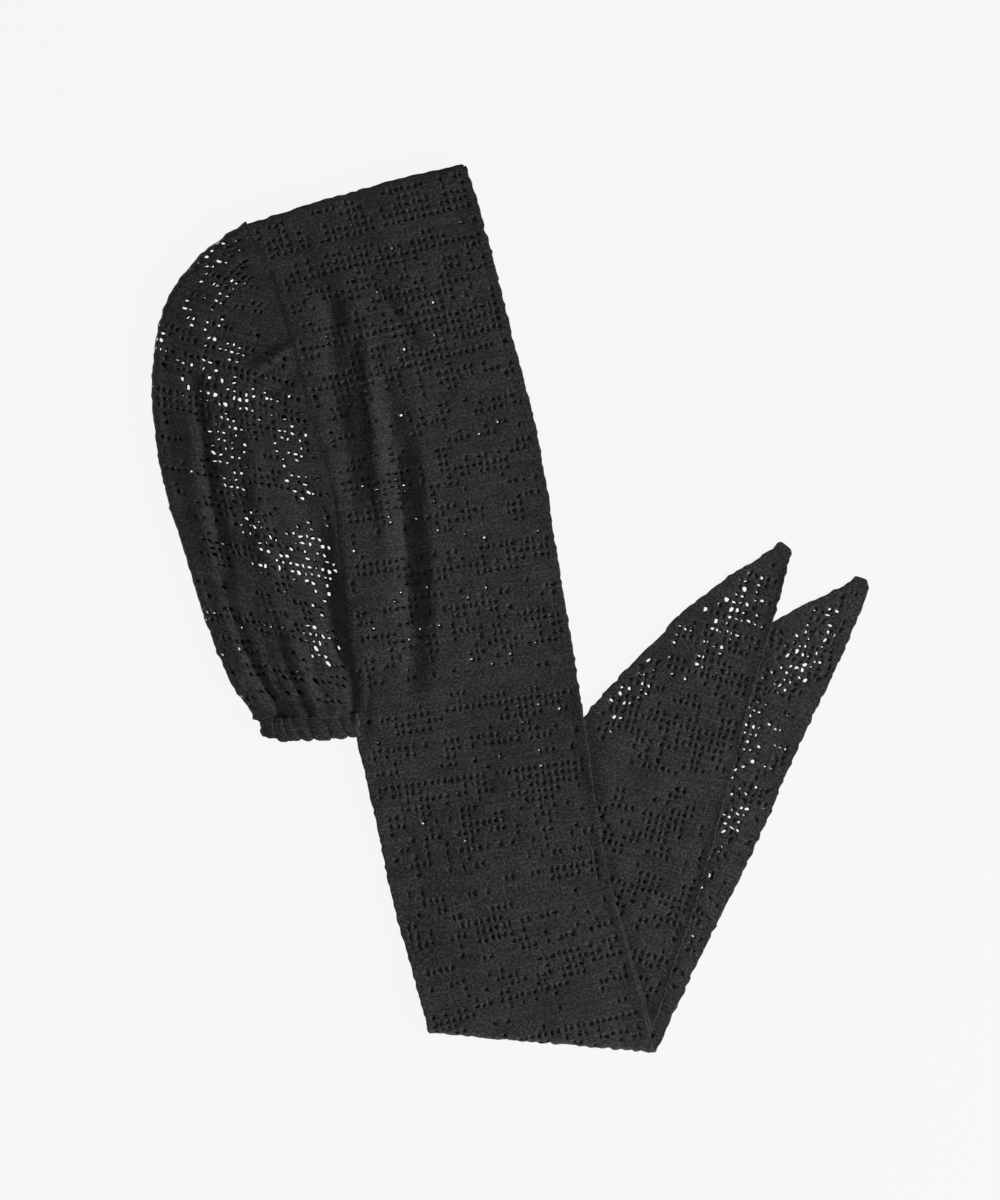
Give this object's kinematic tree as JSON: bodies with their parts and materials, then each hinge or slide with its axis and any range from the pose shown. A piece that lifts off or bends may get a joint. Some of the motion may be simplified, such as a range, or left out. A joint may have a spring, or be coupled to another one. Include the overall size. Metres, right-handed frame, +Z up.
{
  "type": "headscarf",
  "caption": "Soft openwork hood with a gathered back and two long pointed ties, lying flat on its side with the ties folded back at the bottom.",
  "frame": {"origin": "on the surface that the headscarf lies on, under the middle of its outline", "axes": "+Y towards the top of the hood, +X towards the open front, +Z up from the surface, out of the near side of the hood"},
  "size_m": [0.4166, 0.5158, 0.0169],
  "materials": {
    "panel_cloth": "matte black openwork knit, two layers",
    "crown_cloth": "matte black openwork knit, one layer",
    "casing_cloth": "matte black openwork knit gathered over elastic"
  },
  "bodies": {
    "root": {"left_panel": "panel_cloth", "right_panel": "panel_cloth", "crown_panel": "crown_cloth", "nape_casing": "casing_cloth"}
  },
  "joints": []
}
